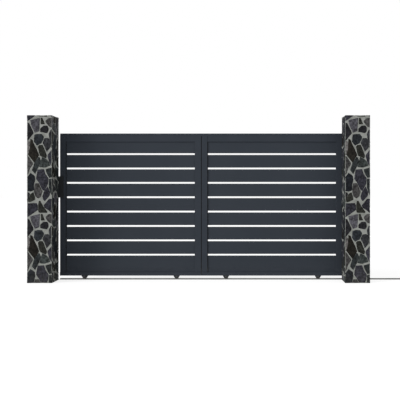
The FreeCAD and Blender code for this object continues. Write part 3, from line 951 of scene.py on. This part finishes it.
for panel, section in product(PANELS, (left_stile, right_stile, top_rail, bottom_rail)):
    node = f"{panel}_{section.__name__}"
    low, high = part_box(node)
    seat = [JOINT_SEAT] if node == "right_panel_left_stile" else []
    outline, radii = section(low, high, *seat)
    axis = "z" if "stile" in node else "x"
    along = AXES[axis][2]
    with new_piece(f"{node}_profile", leaf_coat, "leaf", node) as bm:
        sweep(bm, round_corners(outline, radii), axis, low[along], high[along], END_CHAMFER)
print("8 frame members")

# %% [markdown]
# ## The slats
# Each panel has nine wide slats with open slots between them. One slat is swept as a rounded section, and the
# row tree stacks its copies at the pitch that the CAD model gives.

# %% Slats
SLAT_COUNT = 9
SLOT = 0.021
SLAT_EDGE = 0.001


def slats(panel):
    """The box of a panel's slats, and the step from one slat to the next."""
    low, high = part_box(f"{panel}_slats")
    return low, high, (high.z - low.z + SLOT) / SLAT_COUNT


for panel in PANELS:
    low, high, pitch = slats(panel)
    one = bmesh.new()
    bar(one, low, (high.x, high.y, low.z + pitch - SLOT), "x", SLAT_EDGE)
    with new_piece(f"{panel}_slats_row", slat_coat, "leaf", f"{panel}_slats") as bm:
        draw_row(bm, flat_mesh("slat", one), SLAT_COUNT, (0, 0, pitch), slat_coat)
    print(panel, SLAT_COUNT, "slats, pitch", round(pitch, 4))

# %% [markdown]
# ## Tube, channel and tail
# A tube along the top of the leaf runs between the guide rollers, with a plastic cap in each end. The channel
# below is folded steel, open underneath, with welded end plates, and a post closes the leaf's tail. A box
# with rounded edges does for the tube and the post. The channel needs its true section, with a small radius
# inside each fold and a larger one outside.

# %% Guide tube, base channel and tail post
CAP = 0.003
CAP_INSET = 0.0006
TUBE_EDGE = 0.003
WALL = 0.003
FOLD = 0.004
CUT_EDGE = 0.0006
PLATE_INSET = 0.0008

low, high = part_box("guide_tube")
with new_piece("guide_tube_profile", leaf_coat, "leaf", "guide_tube") as bm:
    bar(bm, (low.x + CAP, low.y, low.z), (high.x - CAP, high.y, high.z), "x", TUBE_EDGE)
with new_piece("guide_tube_caps", nylon, "leaf") as bm:
    y0, y1, z0, z1 = low.y + CAP_INSET, high.y - CAP_INSET, low.z + CAP_INSET, high.z - CAP_INSET
    for x in (low.x, high.x - CAP):
        bar(bm, (x, y0, z0), (x + CAP, y1, z1), "x", TUBE_EDGE)

with new_piece("tail_post_profile", leaf_coat, "leaf", "tail_post") as bm:
    bar(bm, *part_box("tail_post"), "z", TUBE_EDGE, END_CHAMFER)

low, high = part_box("base_channel")
y0, y1, z0, z1 = low.y, high.y, low.z, high.z
section = [(y0, z0), (y0 + WALL, z0), (y0 + WALL, z1 - WALL), (y1 - WALL, z1 - WALL), (y1 - WALL, z0)]
section += [(y1, z0), (y1, z1), (y0, z1)]
folds = [CUT_EDGE, CUT_EDGE, FOLD - WALL, FOLD - WALL, CUT_EDGE, CUT_EDGE, FOLD, FOLD]
with new_piece("base_channel_folded", leaf_coat, "leaf", "base_channel") as bm:
    sweep(bm, round_corners(section, folds), "x", low.x + WALL, high.x - WALL)
    for x in (low.x, high.x - WALL):
        bar(bm, (x, y0 + PLATE_INSET, z0), (x + WALL, y1 - PLATE_INSET, z1 - PLATE_INSET), "x", TUBE_EDGE)
print("tube, channel and tail post")

# %% [markdown]
# ## Black strips: a joint and painted shadows
# A near-black rubber strip fills the joint between the panels and the butt joint of the channel below it. It
# is a real joint made as dark as deep shade, so it is partly painted shade. A second near-black strip lies in
# a seat along each left upright only, where the upright's shadow falls on the slats in light from the left:
# it is a painted shadow. From the road both are fine dark lines. They are thin bars in real seats rather than
# lines in a material, so that they look right from close by too.

# %% Joint strip and painted shadow strips
SHADE_STRIP_INSET = 0.0012
SHADE_STRIP_EDGE = 0.0005
STRIP_EDGE = 0.001
CHANNEL_JOINT = 0.004
CHANNEL_INSET = 0.0015
JOINT_THIN = 0.0003
JOINT_EDGE = 0.0002

left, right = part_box("left_panel_right_stile"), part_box("right_panel_left_stile")
channel_low, channel_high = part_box("base_channel")
face, foot, head = left[0].y + SHADE_STRIP_INSET, left[0].z, left[1].z
lap = right[0].x + JOINT_SEAT
middle = (left[1].x + lap) / 2
# The strip in the panel joint and the bars on the channel are a real joint made near-black: partly painted
# shade.
with new_piece("panel_joint_strip_painted_shade", seal_and_painted_shade, "leaf") as bm:
    bar(bm, (left[1].x, face, foot), (right[0].x, left[1].y - SHADE_STRIP_INSET, head), "z", STRIP_EDGE)
    bar(bm, (right[0].x - SHADE_STRIP_EDGE, face, foot), (lap, left[0].y + SEAT_DEEP, head), "z", SHADE_STRIP_EDGE)
    for y in (channel_low.y, channel_high.y):
        low = (middle - CHANNEL_JOINT, y - JOINT_THIN, channel_low.z + CHANNEL_INSET)
        high = (middle + CHANNEL_JOINT, y + JOINT_THIN, channel_high.z - CHANNEL_INSET)
        bar(bm, low, high, "z", JOINT_EDGE, JOINT_EDGE / 2)
# Only the left uprights get this strip: it is a painted shadow of the upright, in light from the left.
for panel in PANELS:
    low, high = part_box(f"{panel}_left_stile")
    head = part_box(f"{panel}_top_rail")[0].z
    with new_piece(f"{panel}_painted_shadow_strip", seal_and_painted_shade, "leaf") as bm:
        start = (high.x - SHADOW_STRIP_WIDTH, low.y + SHADE_STRIP_INSET, low.z)
        bar(bm, start, (high.x, low.y + SEAT_DEEP, head), "z", SHADE_STRIP_EDGE)
# The slat seals in this print are the painted shadow strips.
print("joint", round(right[0].x - left[1].x, 4), "m wide, 2 slat seals of", SHADOW_STRIP_WIDTH, "m")

# %% [markdown]
# ## Bolts and screws
# Hexagon heads with washers hold the brackets on the pillars and on the ground. The rail's anchors and the
# slats' screws have low domed heads with a socket. All of them are profiles turned about an axis, and a
# hexagon head is simply turned with six sides.

# %% Shapes of bolts and screws
BOLT_RADIUS = 0.0073
HEAD_HIGH = 0.72
WASHER_WIDE = 1.1
WASHER_THICK = 0.22


def hexagon(bm, centre, axis, radius, height, direction=1):
    """A hexagon head or nut with turned-off corners."""
    profile = [(0, 0), (radius, 0), (radius, height * 0.82), (radius * 0.86, height), (0, height)]
    lathe(bm, [(r, direction * z) for r, z in profile], centre, axis, 6)


def disc(bm, centre, axis, radius, thickness, sides=20):
    """A washer or a spacer with a small chamfer."""
    rim = min(thickness * 0.3, 0.0006)
    profile = [(0, 0), (radius, 0), (radius, thickness - rim), (radius - rim, thickness), (0, thickness)]
    lathe(bm, profile, centre, axis, sides)


def bolt(bm, centre, axis):
    """The hexagon head of a bolt on its washer."""
    washer = BOLT_RADIUS * WASHER_THICK
    disc(bm, centre, axis, BOLT_RADIUS * WASHER_WIDE, washer)
    lifted = list(centre)
    lifted[AXES[axis][2]] += washer
    hexagon(bm, lifted, axis, BOLT_RADIUS, BOLT_RADIUS * HEAD_HIGH)


def pan_head(bm, centre, axis, radius):
    """A low domed screw head with a small socket."""
    profile = [(0, 0), (1, 0), (0.94, 0.32), (0.6, 0.55), (0.36, 0.6), (0.3, 0.25), (0, 0.25)]
    lathe(bm, [(r * radius, z * radius) for r, z in profile], centre, axis, 12)


print("bolt and screw shapes are ready")

# %% [markdown]
# Anchors hold the rail's strip to the ground, by turns on one side of its bar and on the other. Small screws
# at the back of the uprights hold each slat's end. Both stand in rows with an even step, so the row tree
# repeats one head, and moves every second anchor across.

# %% Rail anchors and slat screws
RAIL_SECTIONS = (1, 2, 3)
ANCHORS_PER_SECTION = 4
ANCHOR_ASIDE = 0.0165
ANCHOR_RADIUS = 0.0056
STRIP_TOP = 0.004
WASHER = 0.0008
WASHER_RADIUS = 0.0075
SCREW_RADIUS = 0.0042
SCREW_INSET = 0.0035

low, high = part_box("rail_section_1")
step = (high.x - low.x) / ANCHORS_PER_SECTION
x, y = low.x + step / 2, (low.y + high.y) / 2 + ANCHOR_ASIDE
one = bmesh.new()
disc(one, (x, y, STRIP_TOP), "z", WASHER_RADIUS, WASHER)
pan_head(one, (x, y, STRIP_TOP + WASHER), "z", ANCHOR_RADIUS)
with new_piece("rail_anchor_bolts", bolt_zinc, "root") as bm:
    count = len(RAIL_SECTIONS) * ANCHORS_PER_SECTION
    draw_row(bm, flat_mesh("anchor", one), count, (step, 0, 0), bolt_zinc, (0, -2 * ANCHOR_ASIDE, 0))
    print(len(bm.faces), "faces of anchors")

with new_piece("slat_screws", bolt_zinc, "leaf") as bm:
    for panel in PANELS:
        low, high, pitch = slats(panel)
        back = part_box(f"{panel}_left_stile")[1].y
        for x in (low.x + SCREW_INSET, high.x - SCREW_INSET):
            one = bmesh.new()
            pan_head(one, (x, back, low.z + (pitch - SLOT) / 2), "y", SCREW_RADIUS)
            draw_row(bm, flat_mesh("screw", one), SLAT_COUNT, (0, 0, pitch), bolt_zinc)
    print(len(bm.faces), "faces of screws")

# %% [markdown]
# ## Floor rail
# The rail keeps its CAD shape, a steel strip with a round-topped bar on it, because that shape is exact
# already. It only takes the galvanised finish.

# %% Finish for the rail
for index in RAIL_SECTIONS:
    node = nodes[f"rail_section_{index}"]
    node.data.materials.clear()
    node.data.materials.append(rail_zinc)
print(len(RAIL_SECTIONS), "rail sections")

# %% [markdown]
# ## Rollers
# Each roller is a grooved wheel in a tapered fork under the channel. The fork is two tapered cheeks with a
# bridge between them, and the axle is a bolt with a nut. The wheel is turned from steel, so it is made as a
# profile spun about its axle: rims, round groove, and a raised hub on each side.

# %% Forks, axles and wheels
WHEEL_RADIUS = 0.032
TREAD_RADIUS = 0.026
GROOVE_RADIUS = 0.0083
HUB_RADIUS = 0.011
HUB_HALF = 0.0155
BORE_RADIUS = 0.0061
RIM_WIDTH = 0.003
RIM_EDGE = 0.0006
WEB_INSET = 0.0015
WEB_START = (0.002, 0.0035)
WEB_END = (0.006, 0.0045)
FORK_CHEEK = 0.004
FORK_FOOT_HALF = 0.025
FORK_SHOULDER = 0.0013
FORK_BRIDGE = 0.0025
FORK_LIP = 0.0005
FORK_CORNERS = [0.001, 0.006, 0.006, 0.006, 0.006, 0.001]
AXLE_INSET = 0.0005
AXLE_RADIUS = 0.006
NUT_RADIUS = 0.009
NUT_HEIGHT = 0.006


def fork(bm, low, high, centre):
    """Two tapered cheeks and the bridge between them."""
    x, half_top, shoulder = centre.x, (high.x - low.x) / 2, centre.z - FORK_SHOULDER
    cheek = [(x - half_top, high.z), (x - half_top, shoulder), (x - FORK_FOOT_HALF, low.z)]
    cheek += [(x + FORK_FOOT_HALF, low.z), (x + half_top, shoulder), (x + half_top, high.z)]
    for y in (low.y, high.y - FORK_CHEEK):
        sweep(bm, round_corners(cheek, FORK_CORNERS), "y", y, y + FORK_CHEEK, FORK_LIP)
    bridge_low = (low.x, low.y + FORK_CHEEK, high.z - FORK_BRIDGE)
    bar(bm, bridge_low, (high.x, high.y - FORK_CHEEK, high.z), "x", FINE)


def wheel_profile():
    """The wheel's section as (radius, place along the axle), from one hub round the rim to the other."""
    centre = TREAD_RADIUS + GROOVE_RADIUS
    side = math.sqrt(GROOVE_RADIUS**2 - (centre - WHEEL_RADIUS) ** 2) + RIM_WIDTH
    start = math.asin((centre - WHEEL_RADIUS) / GROOVE_RADIUS)
    web = -side + WEB_INSET
    outside = [(BORE_RADIUS, -HUB_HALF), (HUB_RADIUS - RIM_EDGE, -HUB_HALF)]
    outside += [(HUB_RADIUS, -HUB_HALF + RIM_EDGE), (HUB_RADIUS, -side)]
    outside += [(HUB_RADIUS + WEB_START[0], -side), (HUB_RADIUS + WEB_START[1], web)]
    outside += [(WHEEL_RADIUS - WEB_END[0], web), (WHEEL_RADIUS - WEB_END[1], -side)]
    outside += [(WHEEL_RADIUS - RIM_EDGE, -side), (WHEEL_RADIUS, -side + RIM_EDGE)]
    angles = [start + (math.pi - 2 * start) * k / 12 for k in range(13)]
    tread = [(centre - GROOVE_RADIUS * math.sin(a), -GROOVE_RADIUS * math.cos(a)) for a in angles]
    return outside + tread + [(r, -y) for r, y in reversed(outside)] + outside[:1]


for index in range(1, 5):
    node = f"wheel_{index}"
    low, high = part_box(node)
    centre = (low + high) / 2
    with new_piece(f"{node}_turned", wheel_steel, node, node, smooth=30) as bm:
        lathe(bm, wheel_profile(), centre, "y", 64)

    node = f"roller_fork_{index}"
    with new_piece(f"{node}_plates", fork_paint, "leaf", node) as bm:
        fork(bm, *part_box(node), centre)

    node = f"roller_axle_{index}"
    low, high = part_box(node)
    reach = (high.y - low.y) / 2 - AXLE_INSET
    with new_piece(f"{node}_bolt", axle_steel, "leaf", node) as bm:
        lathe(bm, [(0, -reach), (AXLE_RADIUS, -reach), (AXLE_RADIUS, reach), (0, reach)], centre, "y", 24)
        for y, direction in ((low.y + NUT_HEIGHT, -1), (high.y - NUT_HEIGHT, 1)):
            hexagon(bm, (centre.x, y, centre.z), "y", NUT_RADIUS, NUT_HEIGHT, direction)
print("4 rollers, wheel profile of", len(wheel_profile()), "points")

# %% [markdown]
# ## Receiver on the left pillar
# The closed leaf runs into a pocket of black steel plates that are welded along their joints. A weld bead is
# a line of overlapping ripples, which the molten metal leaves as the welding moves on. So the row tree sets
# small flattened balls close together along the seam.


# %% Weld beads
def weld(bm, start, end, radius=0.003):
    """A weld bead: overlapping ripples along a line."""
    start, end = Vector(start), Vector(end)
    ripple_step = radius * 0.8
    count = max(2, round((end - start).length / ripple_step))
    turn = (end - start).to_track_quat("Z", "Y").to_matrix().to_4x4()
    matrix = Matrix.Translation(start) @ turn @ Matrix.Diagonal((radius, radius, ripple_step, 1))
    one = bmesh.new()
    bmesh.ops.create_icosphere(one, subdivisions=1, radius=1.0, matrix=matrix)
    ripple = flat_mesh("ripple", one)
    ripple.shade_smooth()
    draw_row(bm, ripple, count, (end - start) / (count - 1), weld_steel)


print("weld beads are ready")

# %% [markdown]
# The pocket has a rubber stop at its end and a nylon pad in front, and four bolts hold it to the pillar. Its
# plates are bars with rounded edges. The stop has upright ribs, so its ribbed section is drawn and swept
# upwards.

# %% Receiver
PLATE_EDGE = 0.0012
PAD_EDGE = 0.002
RIBS = 5
RIB_DEEP = 0.0025
RIB_HALF = 0.36
RIB_FOOT = 1.3
BOLT_IN = 0.022
BOLT_UP = 0.032
WELD_END = 0.002
WELD_ASIDE = 0.001

for part in ("front_plate", "web", "rear_cheek", "pad"):
    node = f"receiver_{part}"
    name, coat, edge = ("nylon", nylon, PAD_EDGE) if part == "pad" else ("cut", black_paint, PLATE_EDGE)
    with new_piece(f"{node}_{name}", coat, "root", node) as bm:
        bar(bm, *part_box(node), "z", edge)

low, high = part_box("receiver_buffer")
width, dip = (high.y - low.y) / RIBS, high.x - RIB_DEEP
ribbed = [(low.x, low.y)]
for k in range(RIBS):
    y, half = low.y + width * (k + 0.5), width * RIB_HALF
    foot = half * RIB_FOOT
    ribbed += [(dip, y - foot), (high.x, y - half), (high.x, y + half), (dip, y + foot)]
ribbed.append((low.x, high.y))
with new_piece("receiver_buffer_ribbed", rubber, "root", "receiver_buffer") as bm:
    sweep(bm, round_corners(ribbed, PLATE_EDGE), "z", low.z, high.z, LIP)

low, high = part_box("receiver_front_plate")
web_low, web_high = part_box("receiver_web")
with new_piece("receiver_bolts", bolt_zinc, "root") as bm:
    for x, z in product((low.x + BOLT_IN, web_low.x - BOLT_IN), (low.z + BOLT_UP, high.z - BOLT_UP)):
        bolt(bm, (x, high.y, z), "y")
seams = [(web_low.x, high.y), (web_low.x + WELD_ASIDE, web_high.y)]
with new_piece("receiver_welds", weld_steel, "root") as bm:
    for x, y in seams:
        weld(bm, (x, y, web_low.z + WELD_END), (x, y, web_high.z - WELD_END))
print("receiver with", len(seams), "weld beads")

# %% [markdown]
# ## Top guide on the right pillar
# An angle bracket bolted behind the right pillar carries four nylon rollers, two on each side of the leaf's
# top tube, which keep the leaf upright. Each roller hangs on a bolt with a spacer and a nut. The bracket is
# an L section swept along its length. Rollers and bolts are turned profiles, whose points give them their
# grooves and edges.

# %% Top guide
GUIDE_PLATE = 0.008
BRACKET_CORNERS = [0.001, 0.004, 0.003, 0.0015, 0.003, 0.001]
GUIDE_BOLT_IN = 0.028
GUIDE_BOLT_DOWN = 0.03
ROLLER_BORE = 0.0051
ROLLER_EDGE = 0.002
MIDDLE_HALF = 0.001
MIDDLE_DEEP = 0.0008
RING_RADII = (0.0085, 0.008)
RING_HIGH = 0.0008
PIN_RADIUS = 0.005
PIN_EDGE = 0.0005
PIN_HEAD = 0.0037
PIN_NUT = 0.0068
PIN_HEAD_RADIUS = 0.007
PLAY = 0.0003


def roller_profile(radius, half):
    """A guide roller's section: a fine groove round its middle, and a raised ring on its top."""
    profile = [(ROLLER_BORE, -half), (radius - ROLLER_EDGE, -half), (radius, -half + ROLLER_EDGE)]
    profile += [(radius, -MIDDLE_HALF), (radius - MIDDLE_DEEP, 0), (radius, MIDDLE_HALF)]
    profile += [(radius, half - ROLLER_EDGE), (radius - ROLLER_EDGE, half), (RING_RADII[0], half)]
    return profile + [(r, half - RING_HIGH) for r in (RING_RADII[1], ROLLER_BORE)] + profile[:1]


low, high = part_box("guide_bracket")
arm_bottom, arm_top, back = low.z, low.z + GUIDE_PLATE, low.y + GUIDE_PLATE
outline = [(low.y, low.z), (high.y, low.z), (high.y, arm_top)]
outline += [(back, arm_top), (back, high.z), (low.y, high.z)]
with new_piece("guide_bracket_angle", black_paint, "root", "guide_bracket") as bm:
    sweep(bm, round_corners(outline, BRACKET_CORNERS, 4), "x", low.x, high.x, END_CHAMFER)
with new_piece("guide_anchor_bolts", bolt_zinc, "root") as bm:
    for x in (low.x + GUIDE_BOLT_IN, (low.x + high.x) / 2, high.x - GUIDE_BOLT_IN):
        bolt(bm, (x, back, high.z - GUIDE_BOLT_DOWN), "y")

pin_low, pin_high = [corner.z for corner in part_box("guide_pins")]
shank = [(0, pin_low), (PIN_RADIUS, pin_low), (PIN_RADIUS, pin_high - PIN_EDGE)]
shank += [(PIN_RADIUS - PIN_EDGE, pin_high), (0, pin_high)]
with new_piece("guide_pins_bolts", bolt_zinc, "root", "guide_pins") as pins:
    for where, side in product(("near", "far"), ("front", "rear")):
        node = f"guide_roller_{where}_{side}"
        low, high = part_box(node)
        centre = (low + high) / 2
        x, y, z = centre
        with new_piece(f"{node}_turned", nylon, "root", node, smooth=30) as bm:
            lathe(bm, roller_profile((high.x - low.x) / 2, (high.z - low.z) / 2), centre, "z", 40)
        spacer = high.z + PLAY
        hexagon(pins, (x, y, pin_low + PIN_HEAD), "z", PIN_HEAD_RADIUS, PIN_HEAD, -1)
        lathe(pins, [(r, at - z) for r, at in shank], centre, "z", 20)
        disc(pins, (x, y, spacer), "z", PIN_HEAD_RADIUS, arm_bottom - spacer, 24)
        hexagon(pins, (x, y, arm_top), "z", PIN_HEAD_RADIUS, PIN_NUT)
print("4 guide rollers")

# %% [markdown]
# ## End stop
# At the far end of the rail a welded angle with a gusset holds a round rubber buffer, which the open leaf
# meets. The angle is two plates and a triangle, each swept through its own thickness. The buffer is moulded
# round, so it is a turned profile with a small hollow in its face.

# %% End stop
STOP_PLATE = 0.008
STOP_FOOT = 0.006
STOP_EDGE = 0.002
PLATE_CORNERS = [0.0005, 0.0005, 0.008, 0.008]
GUSSET_HALF = 0.004
GUSSET_CORNERS = [0.0005, 0.002, 0.002]
FRONT_BOLT_IN = 0.010
BACK_BOLT_IN = 0.0095
STOP_WELD_IN = 0.003
BUFFER_HOLLOW = [(0, 0.005), (0.004, 0.005), (0.0045, 0.001), (0.0055, 0)]
BUFFER_RIM = [(0.003, 0), (0.001, 0.0012), (0, 0.004)]
BUFFER_WAIST = 0.0008
BUFFER_SKIRT = 0.003

low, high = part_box("end_stop_bracket")
buffer_low, buffer_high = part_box("end_stop_buffer")
front, back, foot = buffer_high.x, buffer_high.x + STOP_PLATE, low.z + STOP_FOOT
middle = (low.y + high.y) / 2
plate = [(low.y, foot), (high.y, foot), (high.y, high.z), (low.y, high.z)]
gusset = [(back, foot), (high.x, foot), (back, high.z)]
with new_piece("end_stop_bracket_plates", black_paint, "root", "end_stop_bracket") as bm:
    bar(bm, low, (high.x, high.y, foot), "z", STOP_EDGE)
    sweep(bm, round_corners(plate, PLATE_CORNERS, 5), "x", front, back, END_CHAMFER)
    gusset = round_corners(gusset, GUSSET_CORNERS)
    sweep(bm, gusset, "y", middle - GUSSET_HALF, middle + GUSSET_HALF, LIP)

radius, half = (buffer_high.y - buffer_low.y) / 2, (buffer_high.x - buffer_low.x) / 2
profile = [(r, -half + along) for r, along in BUFFER_HOLLOW]
profile += [(radius - r, -half + along) for r, along in BUFFER_RIM]
profile += [(radius - BUFFER_WAIST, 0), (radius, half - BUFFER_SKIRT), (radius, half), (0, half)]
with new_piece("end_stop_buffer_moulded", rubber, "root", "end_stop_buffer", smooth=35) as bm:
    lathe(bm, profile, (buffer_low + buffer_high) / 2, "x", 40)

with new_piece("end_stop_bolts", bolt_zinc, "root") as bm:
    for side, x in product((-1, 1), (low.x + FRONT_BOLT_IN, high.x - BACK_BOLT_IN)):
        bolt(bm, (x, middle + side * ANCHOR_ASIDE, foot), "z")
with new_piece("end_stop_weld", weld_steel, "root") as bm:
    weld(bm, (front, low.y + STOP_WELD_IN, foot), (front, high.y - STOP_WELD_IN, foot), 0.0025)
print("end stop at x", round(low.x, 3))
